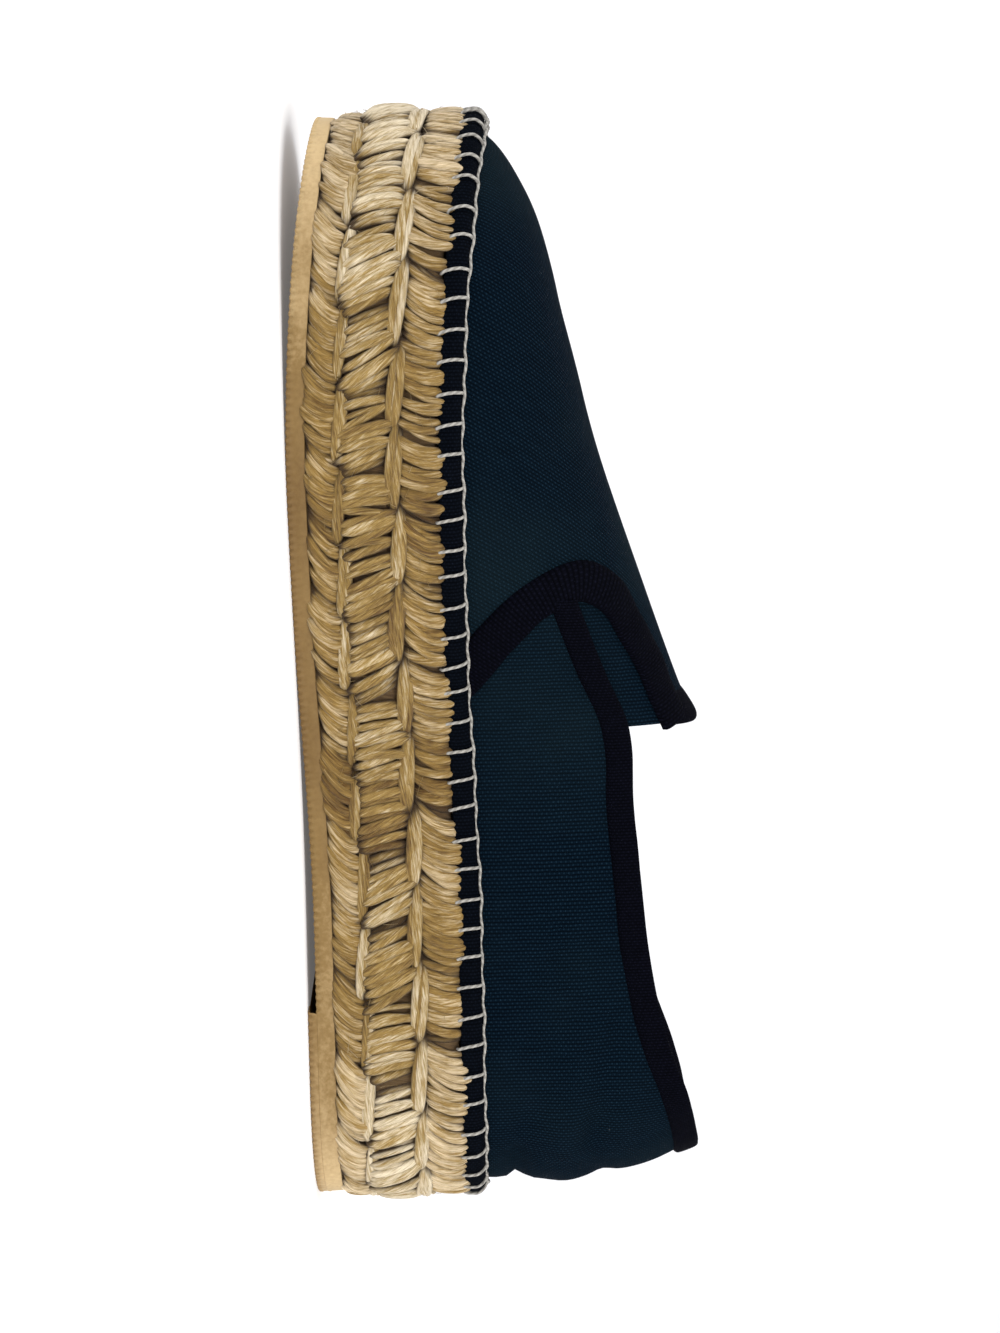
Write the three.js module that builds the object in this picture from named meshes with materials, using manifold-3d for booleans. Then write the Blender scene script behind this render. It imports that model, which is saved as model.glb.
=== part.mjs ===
// A right-foot slip-on platform espadrille, in millimetres.
// The toe points to +X, the wearer's left (the inner, medial side) to +Y, and up is +Z.
// It stands on z = 0, on its heel lift and on the flat under the ball of the foot.

import * as THREE from 'three';
import { mergeVertices } from 'three/addons/utils/BufferGeometryUtils.js';
import Module from 'manifold-3d';

const wasm = await Module();
wasm.setup();

// Sizes over the braided platform
const length = 256;
const ballWidth = 93;
const waistWidth = 62;
const heelWidth = 63;
const toeSpring = 7;

// Heights of the layers
const rubberThickness = 4.2;
const heelLift = 1.9;
const braidHeight = 28.2;
const bandHeight = 4.8;
const insoleThickness = 3;

// Heights above the floor
const instepHeight = 90.5;
const collarHeight = 73.8;
const heelTopHeight = 88.5;

// Steps and walls; the insets are measured in from the braid's widest line
const rubberInset = 1.8;
const rubberStep = 0.6;
const bandInset = 1.2;
const bandSwell = 0.9;
const upperInset = 4.6;
const braidRelief = 3.2;
const lobeRelief = 1.3;
const lobePitch = 17.5;
const canvasWall = 1.6;
const tapeThickness = 0.9;
const gussetRecess = 0.6;
const frontTapeWidth = 7.4;
const tonguePanel = 23;
const collarTapeWidth = 5;
const heelSwell = 1;
const grooveWidth = 1.6;
const grooveDepth = 0.8;
const clearance = 0.3;

// Places along the foot, from the heel end
const heelCentre = 0.133 * length;
const toeCentre = 0.836 * length;
const liftMedial = 0.203 * length;
const liftLateral = 0.25 * length;
const archEnd = 0.56 * length;
const springStart = 0.672 * length;
const tongueTip = 0.45 * length;
const grooves = [0.45 * length, 0.55 * length];

// Shapes without a unit: how blunt the sole's ends are, 2 being an ellipse; how late the toe
// spring rises, 1 being a straight ramp; how much of the canvas's height the heel's swell spans,
// 1 being all; how far over the tongue's tape the bare panel widens; the grooves' reach across
const endBlunt = 2.15;
const springCurve = 1.8;
const swellSpan = 1 / 1.3;
const panelFlare = 1.8;
const grooveReach = 0.56;

// Fineness of the facets
const ribsAlong = 16;
const ribsAroundEnd = 6;
const stepsUp = 7;
const lobeFacets = 4;
const collarStep = 10;

// The sole's plan. at: share of the length from the heel; centre: where the foot's middle line
// lies, as a share of the ball width, to the medial side; medial and lateral: each side's
// distance from that line, as shares of the width that the row follows.
const plan = [
  { at: 0.0, centre: 0.0, follows: heelWidth, medial: 0.49, lateral: 0.49 },
  { at: 0.13, centre: 0.0, follows: heelWidth, medial: 0.5, lateral: 0.5 },
  { at: 0.24, centre: 0.0, follows: heelWidth, medial: 0.485, lateral: 0.515 },
  { at: 0.34, centre: -0.01, follows: waistWidth, medial: 0.475, lateral: 0.54 },
  { at: 0.43, centre: -0.015, follows: waistWidth, medial: 0.505, lateral: 0.585 },
  { at: 0.52, centre: -0.01, follows: ballWidth, medial: 0.39, lateral: 0.42 },
  { at: 0.6, centre: 0.0, follows: ballWidth, medial: 0.445, lateral: 0.465 },
  { at: 0.68, centre: 0.01, follows: ballWidth, medial: 0.48, lateral: 0.505 },
  { at: 0.76, centre: 0.022, follows: ballWidth, medial: 0.475, lateral: 0.52 },
  { at: 0.84, centre: 0.04, follows: ballWidth, medial: 0.445, lateral: 0.505 },
  { at: 0.92, centre: 0.058, follows: ballWidth, medial: 0.41, lateral: 0.48 },
  { at: 1.0, centre: 0.07, follows: ballWidth, medial: 0.38, lateral: 0.46 },
];

// The crown line over the foot's middle. at: share of the length from the heel; rise: share of
// the instep's rise above the platform; square: how square the section is, 2 being an ellipse.
// Behind the tongue the crown is open air, and only the walls below the collar are there.
const crown = [
  { at: 0.0, rise: 1.3, square: 2.6 },
  { at: 0.13, rise: 1.3, square: 2.7 },
  { at: 0.3, rise: 1.24, square: 2.6 },
  { at: 0.39, rise: 1.1, square: 2.4 },
  { at: 0.45, rise: 1.0, square: 2.3 },
  { at: 0.56, rise: 0.835, square: 2.2 },
  { at: 0.67, rise: 0.67, square: 2.15 },
  { at: 0.78, rise: 0.52, square: 2.15 },
  { at: 0.84, rise: 0.435, square: 2.2 },
  { at: 0.92, rise: 0.35, square: 2.2 },
  { at: 1.0, rise: 0.24, square: 2.2 },
];

// The collar line, seen from the side, as far as the throat's corner. at: share of the length
// from the heel; lift: how far it lies above the collar's height, as a share of the heel's climb.
const collarLine = [
  { at: 0.0, lift: 1.17 },
  { at: 0.06, lift: 1.09 },
  { at: 0.115, lift: 0.81 },
  { at: 0.155, lift: 0.56 },
  { at: 0.2, lift: 0.36 },
  { at: 0.25, lift: 0.22 },
  { at: 0.31, lift: 0.12 },
  { at: 0.38, lift: 0.02 },
  { at: 0.45, lift: -0.04 },
  { at: 0.505, lift: -0.43 },
  { at: 0.57, lift: -0.84 },
];

// The edge of the vamp and its tongue, seen from the side. at: share of the length from the heel;
// up: share of the instep height.
const vampEdge = [
  { at: 0.47, up: 0.36 },
  { at: 0.493, up: 0.436 },
  { at: 0.532, up: 0.53 },
  { at: 0.558, up: 0.61 },
  { at: 0.571, up: 0.7 },
  { at: 0.558, up: 0.77 },
  { at: 0.532, up: 0.813 },
  { at: 0.505, up: 0.855 },
  { at: 0.475, up: 0.89 },
  { at: 0.43, up: 0.94 },
];

// The braid's side, from its foot up. up: share of the braid's height; in: share of the braid's
// relief that it lies inside the widest line; lobe: how much the lobes show; lean: how far the
// lobes have leaned along the row, in lobe pitches.
const braidSide = [
  { up: 0.0, in: 0.95, lobe: 0.0, lean: 0.0 },
  { up: 0.06, in: 0.5, lobe: 0.6, lean: 0.15 },
  { up: 0.15, in: 0.38, lobe: 1.0, lean: 0.3 },
  { up: 0.235, in: 0.9, lobe: 0.2, lean: 0.4 },
  { up: 0.32, in: 0.3, lobe: 0.8, lean: 0.6 },
  { up: 0.44, in: 0.0, lobe: 1.0, lean: 0.5 },
  { up: 0.56, in: 0.2, lobe: 0.8, lean: 0.4 },
  { up: 0.64, in: 0.9, lobe: 0.2, lean: 0.3 },
  { up: 0.73, in: 0.35, lobe: 0.8, lean: 0.0 },
  { up: 0.84, in: 0.22, lobe: 1.0, lean: 0.15 },
  { up: 0.94, in: 0.5, lobe: 0.5, lean: 0.3 },
  { up: 1.0, in: 1.0, lobe: 0.0, lean: 0.4 },
];

// Reads a column of a table at a share of the length, on a smooth curve through its rows.
function read(table, value, at) {
  const last = table.length - 1;
  let row = 0;
  while (row < last - 1 && table[row + 1].at < at) row += 1;
  const slope = (i) => {
    const before = table[Math.max(i - 1, 0)];
    const after = table[Math.min(i + 1, last)];
    return (value(after) - value(before)) / (after.at - before.at);
  };
  const step = table[row + 1].at - table[row].at;
  const t = THREE.MathUtils.clamp((at - table[row].at) / step, 0, 1);
  const stay = (1 + 2 * t) * (1 - t) ** 2;
  const arrive = t * t * (3 - 2 * t);
  const leaveSlope = t * (1 - t) ** 2 * step * slope(row);
  const arriveSlope = t * t * (t - 1) * step * slope(row + 1);
  return stay * value(table[row]) + arrive * value(table[row + 1]) + leaveSlope + arriveSlope;
}

const middleLine = (x) => ballWidth * read(plan, (row) => row.centre, x / length);
const halfWidth = (x, side) => read(plan, (row) => row.follows * row[side], x / length);

// How far the rubber's underside lies above the floor: over the lift at the heel, on the floor
// under the ball, and up again at the toe.
function floorGap(x) {
  const arch = THREE.MathUtils.smoothstep(x, liftLateral, archEnd);
  const spring = Math.max(0, (x - springStart) / (length - springStart));
  return heelLift * (1 - arch) + toeSpring * spring ** springCurve;
}

const braidFoot = (x) => floorGap(x) + rubberThickness + clearance;
const braidTop = (x) => braidFoot(x) + braidHeight;
const upperFoot = (x) => braidTop(x) + clearance;
const bandTop = (x) => upperFoot(x) + bandHeight;
const instepRise = instepHeight - upperFoot(tongueTip);

// The ribs go round the shoe from the heel end, up the medial side, round the toe and back along
// the lateral side. Each has a point on the braid's widest line and its own point of the middle
// line, which the two sides share.
function makeRibs(along, aroundEnd) {
  const sideRibs = [];
  const addEnd = (centre, reach, angle) => {
    const far = Math.sin(angle) ** (2 / endBlunt);
    const wide = Math.cos(angle) ** (2 / endBlunt);
    sideRibs.push({ x: centre + reach * far, wide, root: centre });
  };
  for (let i = 0; i <= aroundEnd; i += 1) {
    addEnd(heelCentre, -heelCentre, (Math.PI / 2) * (1 - i / aroundEnd));
  }
  for (let i = 1; i <= along; i += 1) {
    const x = THREE.MathUtils.lerp(heelCentre, toeCentre, i / along);
    sideRibs.push({ x, wide: 1, root: x });
  }
  for (let i = 1; i <= aroundEnd; i += 1) {
    addEnd(toeCentre, length - toeCentre, (Math.PI / 2) * (i / aroundEnd));
  }
  const place = (rib, side, sign) => ({
    rim: new THREE.Vector2(rib.x, middleLine(rib.x) + sign * rib.wide * halfWidth(rib.x, side)),
    root: new THREE.Vector2(rib.root, middleLine(rib.root)),
  });
  const medial = sideRibs.map((rib) => place(rib, 'medial', 1));
  const lateral = sideRibs.slice(1, -1).map((rib) => place(rib, 'lateral', -1));
  const ribs = [...medial, ...lateral.reverse()];
  let walked = 0;
  return ribs.map((rib, i) => {
    const ahead = ribs[(i + 1) % ribs.length].rim;
    const behind = ribs[(i + ribs.length - 1) % ribs.length].rim;
    const tangent = ahead.clone().sub(behind).normalize();
    if (i > 0) walked += rib.rim.distanceTo(behind);
    return { ...rib, walked, outward: new THREE.Vector2(-tangent.y, tangent.x) };
  });
}

const ribs = makeRibs(ribsAlong, ribsAroundEnd);

// A rib's rim point, moved in from the braid's widest line.
const insetRim = (rib, inset) => rib.rim.clone().addScaledVector(rib.outward, -inset);

// A ring of points at one inset, with its height worked out from the place along the foot.
function ringAt(inset, height) {
  return ribs.map((rib) => {
    const rim = insetRim(rib, inset);
    return new THREE.Vector3(rim.x, rim.y, height(rim.x));
  });
}

// Joins rings of equal length, one above the other. The foot is closed by strips across the shoe,
// and the top too, unless its ring has run together along the crown line.
function stackRings(rings, cappedTop) {
  const count = rings[0].length;
  const faces = [];
  for (let level = 0; level < rings.length - 1; level += 1) {
    for (let i = 0; i < count; i += 1) {
      const a = level * count + i;
      const b = level * count + ((i + 1) % count);
      faces.push(a, a + count, b, b, a + count, b + count);
    }
  }
  const top = (rings.length - 1) * count;
  for (let i = 0; i < count / 2; i += 1) {
    const medial = i;
    const medialNext = i + 1;
    const lateral = (count - i) % count;
    const lateralNext = count - i - 1;
    faces.push(lateral, medialNext, lateralNext, lateral, medial, medialNext);
    if (cappedTop) {
      faces.push(top + lateral, top + lateralNext, top + medialNext);
      faces.push(top + lateral, top + medialNext, top + medial);
    }
  }
  return solid(rings.flat(), faces);
}

// A solid for cutting and joining, with its shared corners merged and its empty faces dropped.
function solid(points, faces) {
  const geometry = new THREE.BufferGeometry();
  const numbers = points.flatMap((p) => [p.x, p.y, p.z]);
  geometry.setAttribute('position', new THREE.Float32BufferAttribute(numbers, 3));
  geometry.setIndex(faces);
  return solidOf(geometry);
}

function solidOf(geometry) {
  const plain = geometry.clone();
  plain.deleteAttribute('normal');
  plain.deleteAttribute('uv');
  const merged = mergeVertices(plain, 1e-4);
  const corners = merged.index.array;
  const kept = [];
  for (let i = 0; i < corners.length; i += 3) {
    const [a, b, c] = corners.slice(i, i + 3);
    if (a !== b && b !== c && c !== a) kept.push(a, b, c);
  }
  return new wasm.Manifold(new wasm.Mesh({
    numProp: 3,
    vertProperties: new Float32Array(merged.attributes.position.array),
    triVerts: new Uint32Array(kept),
  }));
}

// The largest body of a cut form, without the crumbs that a cut can leave beside it.
function geometryOf(shape) {
  const bodies = shape.decompose().sort((a, b) => b.volume() - a.volume());
  const mesh = bodies[0].getMesh();
  const geometry = new THREE.BufferGeometry();
  geometry.setAttribute('position', new THREE.BufferAttribute(mesh.vertProperties, 3));
  geometry.setIndex(new THREE.BufferAttribute(mesh.triVerts, 1));
  return geometry;
}

// A prism from an outline in two directions: seen from the side (from the heel, height) it runs
// across the shoe, and seen from above it runs up through it.
function sidePrism(outline) {
  const shape = new THREE.Shape(outline.map(([x, z]) => new THREE.Vector2(x, z)));
  const geometry = new THREE.ExtrudeGeometry(shape, { depth: 2 * ballWidth, bevelEnabled: false });
  geometry.rotateX(Math.PI / 2);
  geometry.translate(0, ballWidth, 0);
  return solidOf(geometry);
}

function planPrism(outline, foot, top) {
  const shape = new THREE.Shape(outline.map(([x, y]) => new THREE.Vector2(x, y)));
  const geometry = new THREE.ExtrudeGeometry(shape, { depth: top - foot, bevelEnabled: false });
  geometry.translate(0, 0, foot);
  return solidOf(geometry);
}

// A line of side-view points moved to its left by a distance.
function moveLine(points, distance) {
  return points.map(([x, z], i) => {
    const [beforeX, beforeZ] = points[Math.max(i - 1, 0)];
    const [afterX, afterZ] = points[Math.min(i + 1, points.length - 1)];
    const way = Math.hypot(afterX - beforeX, afterZ - beforeZ);
    return [x - (distance * (afterZ - beforeZ)) / way, z + (distance * (afterX - beforeX)) / way];
  });
}

// A point of the last's skin on one rib, grow outside the canvas's outer face. climb goes from 0
// at the platform to 1 on the crown line. The back of the heel swells out above the band.
function lastPoint(rib, climb, grow) {
  const square = read(crown, (row) => row.square, rib.root.x / length);
  const angle = (climb * Math.PI) / 2;
  const inward = climb === 1 ? 1 : 1 - Math.cos(angle) ** (2 / square);
  const upward = Math.sin(angle) ** (2 / square);
  const flat = insetRim(rib, upperInset - grow).lerp(rib.root, inward);
  const rise = instepRise * read(crown, (row) => row.rise, flat.x / length);
  const behind = Math.max(0, 1 - rib.rim.x / heelCentre);
  const bulge = Math.sin(Math.PI * Math.min(1, upward / swellSpan));
  const swell = heelSwell * behind * (1 - inward) * bulge;
  const height = upperFoot(flat.x) + upward * (rise + grow);
  return new THREE.Vector3(flat.x - swell, flat.y, height);
}

// The last as a closed form. depth says how far below the upper's foot it reaches.
function lastForm(grow, depth) {
  const rings = [];
  if (depth > 0) rings.push(ringAt(upperInset - grow, (x) => upperFoot(x) - depth));
  for (let step = 0; step <= stepsUp; step += 1) {
    rings.push(ribs.map((rib) => lastPoint(rib, step / stepsUp, grow)));
  }
  return stackRings(rings, false);
}

// A wall on the last between two distances from the canvas's outer face, open underneath.
const shell = (inner, outer) => lastForm(outer, 0).subtract(lastForm(inner, bandHeight));

const sky = 2 * instepHeight;
const throatEnd = collarLine[collarLine.length - 1].at * length;
const noseStart = vampEdge[3].at * length;
const noseTip = Math.max(...vampEdge.map((row) => row.at)) * length;

// The collar line from behind the heel to a place along the foot, raised by a distance.
function collarTo(reach, raise) {
  const count = Math.round(reach / collarStep);
  const points = [[-length / 2, heelTopHeight]];
  for (let i = 0; i <= count; i += 1) {
    const x = (reach * i) / count;
    const lift = read(collarLine, (row) => row.lift, x / length);
    points.push([x, collarHeight + lift * (heelTopHeight - collarHeight)]);
  }
  return moveLine(points, raise);
}

// The air over the collar, back of a straight end edge at the tongue's tip.
const airOver = (raise, end) => sidePrism([...collarTo(end, raise), [end, sky], [-length / 2, sky]]);

// All that lies in front of the vamp's edge, which is moved forward by a distance.
function vampSide(forward) {
  const edge = vampEdge.map((row) => [row.at * length, row.up * instepHeight]);
  const [tipX] = edge[edge.length - 1];
  return sidePrism([...moveLine(edge, -forward), [tipX, sky], [length, sky], [length, edge[0][1]]]);
}

// The canvas, thinned in the two gussets that lie between the collar's line and the tongue.
function makeUpper() {
  const quarters = sidePrism([...collarTo(throatEnd, 0), [throatEnd, 0], [-length / 2, 0]]);
  const gussets = shell(-gussetRecess, 2 * gussetRecess)
    .subtract(vampSide(-clearance).add(quarters))
    .subtract(airOver(0, tongueTip));
  return shell(-canvasWall, 0).subtract(airOver(0, tongueTip)).subtract(gussets);
}

// A slab of the side view between two places along the foot, from a height up.
const slice = (from, to, foot) => sidePrism([[from, foot], [to, foot], [to, sky], [from, sky]]);

// The tape along the vamp's edge and round the tongue's tip, where it folds over to the inside.
function makeFrontTape() {
  const outside = clearance + tapeThickness;
  const inside = -canvasWall - outside;
  const foot = bandTop(tongueTip) + clearance;
  const tip = tongueTip - outside;
  const hem = tongueTip + frontTapeWidth;
  const middle = middleLine(tongueTip);
  const corner = noseTip + frontTapeWidth;
  const panel = planPrism([
    [hem, middle - tonguePanel / 2],
    [corner, middle - (panelFlare * tonguePanel) / 2],
    [corner, middle + (panelFlare * tonguePanel) / 2],
    [hem, middle + tonguePanel / 2],
  ], foot, sky);
  const edged = vampSide(0).subtract(vampSide(frontTapeWidth));
  const overTongue = vampSide(0).intersect(slice(tip, noseStart, foot)).subtract(panel);
  const face = shell(clearance, outside)
    .intersect(edged.add(overTongue))
    .intersect(slice(tip, length, foot));
  const lining = shell(inside, -canvasWall - clearance).intersect(slice(tip, hem, foot));
  const nose = shell(inside, outside).intersect(slice(tip, tongueTip - clearance, foot));
  return face.add(lining.add(nose).intersect(vampSide(0)));
}

// The tape along the collar, folded over the quarters' edge to the inside.
function makeCollarTape() {
  const outside = clearance + tapeThickness;
  const inside = -canvasWall - outside;
  const strip = (low, high, end) => {
    const upperLine = collarTo(end, high);
    const lowerLine = collarTo(end, low).reverse();
    return sidePrism([...upperLine, ...lowerLine]);
  };
  const open = tongueTip - 2 * clearance - tapeThickness;
  const face = shell(clearance, outside)
    .intersect(strip(-collarTapeWidth, outside, open).add(strip(-collarTapeWidth, 0, throatEnd)));
  const lining = shell(inside, -canvasWall - clearance)
    .intersect(strip(-collarTapeWidth, outside, open));
  const fold = shell(inside, outside).intersect(strip(clearance, outside, open));
  return face.add(lining).add(fold).subtract(vampSide(-clearance));
}

// The fabric band round the foot of the upper, swelling out between its two edges.
function makeBand() {
  const profile = [
    { up: 0.0, in: bandSwell },
    { up: 0.2, in: 0.2 * bandSwell },
    { up: 0.5, in: 0.0 },
    { up: 0.8, in: 0.3 * bandSwell },
    { up: 1.0, in: 1.3 * bandSwell },
  ];
  const rings = profile.map((row) => (
    ringAt(bandInset + row.in, (x) => upperFoot(x) + row.up * bandHeight)));
  return stackRings(rings, true).subtract(lastForm(clearance, bandHeight));
}

// The braided platform: three rows of lobes with the plait's channels between them.
function makeBraid() {
  const spacing = lobePitch / lobeFacets;
  const endArc = (Math.PI / 4) * (heelCentre + heelWidth / 2);
  const fine = makeRibs(Math.round((toeCentre - heelCentre) / spacing), Math.round(endArc / spacing));
  const last = fine[fine.length - 1];
  const around = last.walked + last.rim.distanceTo(fine[0].rim);
  const lobes = Math.round(around / lobePitch);
  const rings = braidSide.map((row) => fine.map((rib) => {
    const turn = (lobes * rib.walked) / around + row.lean;
    const dip = lobeRelief * row.lobe * Math.abs(Math.sin(Math.PI * turn)) ** 2;
    const rim = insetRim(rib, braidRelief * row.in + dip);
    return new THREE.Vector3(rim.x, rim.y, braidFoot(rim.x) + row.up * braidHeight);
  }));
  return stackRings(rings, true);
}

// The moulded rubber sole with its heel lift, which ends in an oblique, sloping breast.
function makeOutsole() {
  const edge = [
    { up: 0.0, in: 0.4 },
    { up: 0.08, in: 0.0 },
    { up: 0.36, in: 0.0 },
    { up: 0.42, in: 1.0 },
    { up: 1.0, in: 1.0 },
  ];
  const rings = edge.map((row) => (
    ringAt(rubberInset + row.in * rubberStep, (x) => floorGap(x) + row.up * rubberThickness)));
  const liftEdge = [
    { lift: 0.0, sole: 0.0, in: 1.0 },
    { lift: 0.25, sole: 0.0, in: 0.0 },
    { lift: 1.0, sole: 0.3, in: 0.0 },
  ];
  const liftRings = liftEdge.map((row) => (
    ringAt(rubberInset + row.in * rubberStep,
      (x) => row.lift * floorGap(x) + row.sole * rubberThickness)));
  const breast = planPrism([
    [-heelWidth, -ballWidth],
    [liftLateral, -heelWidth / 2],
    [liftMedial, heelWidth / 2],
    [-heelWidth, ballWidth],
  ], -heelLift, rubberThickness);
  const reach = (grooveReach * waistWidth) / 2;
  const cuts = grooves.map((x) => planPrism([
    [x - grooveWidth / 2, -reach],
    [x + grooveWidth / 2, -reach],
    [x + grooveWidth / 2, reach],
    [x - grooveWidth / 2, reach],
  ], -heelLift, floorGap(x) + grooveDepth));
  const sole = stackRings(rings, true).add(stackRings(liftRings, true).intersect(breast));
  return cuts.reduce((left, cut) => left.subtract(cut), sole);
}

// The insole lies on the braid inside the upper.
function makeInsole() {
  const slab = stackRings([ringAt(upperInset, upperFoot),
    ringAt(upperInset, (x) => upperFoot(x) + insoleThickness)], true);
  return slab.intersect(lastForm(-canvasWall - clearance, 0));
}

const finish = (color, roughness) => (
  new THREE.MeshStandardMaterial({ color, roughness, metalness: 0 }));

const espadrille = new THREE.Group();

function add(name, shape, material) {
  const mesh = new THREE.Mesh(geometryOf(shape), material);
  mesh.name = name;
  espadrille.add(mesh);
}

add('outsole', makeOutsole(), finish(0xbe9b6e, 0.65));
add('braided_platform', makeBraid(), finish(0xb9965a, 0.95));
add('insole', makeInsole(), finish(0xb39a72, 0.9));
add('upper', makeUpper(), finish(0x15222a, 0.92));
add('rim_band', makeBand(), finish(0x070a12, 0.9));
add('front_tape', makeFrontTape(), finish(0x06070f, 0.88));
add('collar_tape', makeCollarTape(), finish(0x06070f, 0.88));

// The origin is on the floor under the middle of the whole shoe's box.
const middle = new THREE.Box3().setFromObject(espadrille).getCenter(new THREE.Vector3());
espadrille.position.set(-middle.x, -middle.y, 0);

export default espadrille;
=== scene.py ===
"""A right-foot slip-on platform espadrille, dressed for its portrait.

The frame is the part's own, in metres: the toe points to +X, the wearer's left (the medial side)
to +Y, and up is +Z. The forms are worked out in millimetres from the heel end of the sole, from
the same sizes as the solids, and in_frame() moves them into the frame.
"""

import math

import bpy
import numpy as np
from mathutils import Matrix, Vector


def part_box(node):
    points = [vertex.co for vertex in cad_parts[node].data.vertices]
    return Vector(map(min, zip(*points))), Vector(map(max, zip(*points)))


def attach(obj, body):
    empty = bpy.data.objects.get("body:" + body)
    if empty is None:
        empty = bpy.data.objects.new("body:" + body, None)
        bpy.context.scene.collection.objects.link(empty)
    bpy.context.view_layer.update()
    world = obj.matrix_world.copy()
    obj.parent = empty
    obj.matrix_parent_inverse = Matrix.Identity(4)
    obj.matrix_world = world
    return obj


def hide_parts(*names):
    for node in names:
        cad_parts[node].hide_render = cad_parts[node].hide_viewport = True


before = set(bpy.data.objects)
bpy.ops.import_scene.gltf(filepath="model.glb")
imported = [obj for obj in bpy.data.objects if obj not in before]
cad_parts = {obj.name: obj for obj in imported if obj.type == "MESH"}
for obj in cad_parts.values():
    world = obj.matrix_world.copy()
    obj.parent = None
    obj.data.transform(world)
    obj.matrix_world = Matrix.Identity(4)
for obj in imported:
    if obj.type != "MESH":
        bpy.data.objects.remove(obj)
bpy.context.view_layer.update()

MM = 0.001

# Sizes of the shoe, as in the solids
LENGTH, BALL_WIDTH, WAIST_WIDTH, HEEL_WIDTH, TOE_SPRING = 256.0, 93.0, 62.0, 63.0, 7.0
RUBBER_THICKNESS, HEEL_LIFT, BRAID_HEIGHT, BAND_HEIGHT = 4.2, 1.9, 28.2, 4.8
INSTEP_HEIGHT, COLLAR_HEIGHT, HEEL_TOP_HEIGHT = 90.5, 73.8, 88.5
RUBBER_INSET, UPPER_INSET, CLEARANCE = 1.8, 4.6, 0.3
LOBE_PITCH, CANVAS_WALL, HEEL_SWELL = 17.5, 1.6, 1.0
HEEL_CENTRE, TOE_CENTRE, LIFT_MEDIAL, LIFT_LATERAL = (
    share * LENGTH for share in (0.133, 0.836, 0.203, 0.25))
ARCH_END, SPRING_START, TONGUE_TIP = (share * LENGTH for share in (0.56, 0.672, 0.45))
END_BLUNT, SPRING_CURVE, SWELL_SPAN = 2.15, 1.8, 1 / 1.3
FRONT_TAPE_WIDTH, FRONT_TAPE_LAP = 9.6, 1.2
GORE_RECESS, TIP_RISE = 0.6, 0.6
STITCH_PITCH, BAR_ACROSS, BAR_DEEP, THREAD_RADIUS, FIBRE_RADIUS = 6.8, 0.36, 0.34, 0.33, 0.075
GROOVE_WIDTH, GROOVE_REACH, GROOVE_OFF = 1.6, 17.6, 0.05 * LENGTH
BREAST_SLOPE, BREAST_HEIGHT = 18.0, 0.8


def table(columns, rows):
    """A table as one array a column."""
    return dict(zip(columns.split(), np.array(rows, float).T))


# The sole's plan: at, share of the length from the heel; centre, the middle line's place as a
# share of the ball width; medial and lateral, each side's distance from it as shares of follows
PLAN = table("at centre follows medial lateral", [
    (0.0, 0.0, HEEL_WIDTH, 0.49, 0.49),
    (0.13, 0.0, HEEL_WIDTH, 0.5, 0.5),
    (0.24, 0.0, HEEL_WIDTH, 0.485, 0.515),
    (0.34, -0.01, WAIST_WIDTH, 0.475, 0.54),
    (0.43, -0.015, WAIST_WIDTH, 0.505, 0.585),
    (0.52, -0.01, BALL_WIDTH, 0.39, 0.42),
    (0.6, 0.0, BALL_WIDTH, 0.445, 0.465),
    (0.68, 0.01, BALL_WIDTH, 0.48, 0.505),
    (0.76, 0.022, BALL_WIDTH, 0.475, 0.52),
    (0.84, 0.04, BALL_WIDTH, 0.445, 0.505),
    (0.92, 0.058, BALL_WIDTH, 0.41, 0.48),
    (1.0, 0.07, BALL_WIDTH, 0.38, 0.46),
])
for side in ("medial", "lateral"):
    PLAN[side] *= PLAN["follows"]

# The crown over the middle line: rise, share of the instep's rise; square, the section's corners
CROWN = table("at rise square", [
    (0.0, 1.3, 2.6), (0.13, 1.3, 2.7), (0.3, 1.24, 2.6), (0.39, 1.1, 2.4), (0.45, 1.0, 2.3),
    (0.56, 0.835, 2.2), (0.67, 0.67, 2.15), (0.78, 0.52, 2.15), (0.84, 0.435, 2.2),
    (0.92, 0.35, 2.2), (1.0, 0.24, 2.2),
])

# The collar seen from the side: lift, its height over the collar's as a share of the heel's climb
COLLAR = table("at lift", [
    (0.0, 1.17), (0.06, 1.09), (0.115, 0.81), (0.155, 0.56), (0.2, 0.36), (0.25, 0.22),
    (0.31, 0.12), (0.38, 0.02), (0.45, -0.04), (0.505, -0.43), (0.57, -0.84),
])

# The edge of the vamp and its tongue seen from the side, from the seam's foot to the tongue's tip:
# along, share of the length from the heel; up, share of the instep height
VAMP_EDGE = table("at along up", [
    (0.0, 0.47, 0.36), (0.13, 0.493, 0.436), (0.29, 0.532, 0.53), (0.4, 0.558, 0.61),
    (0.5, 0.571, 0.7), (0.59, 0.558, 0.77), (0.69, 0.532, 0.813), (0.8, 0.505, 0.855),
    (0.91, 0.475, 0.89), (1.0, 0.446, 0.925),
])

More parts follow.
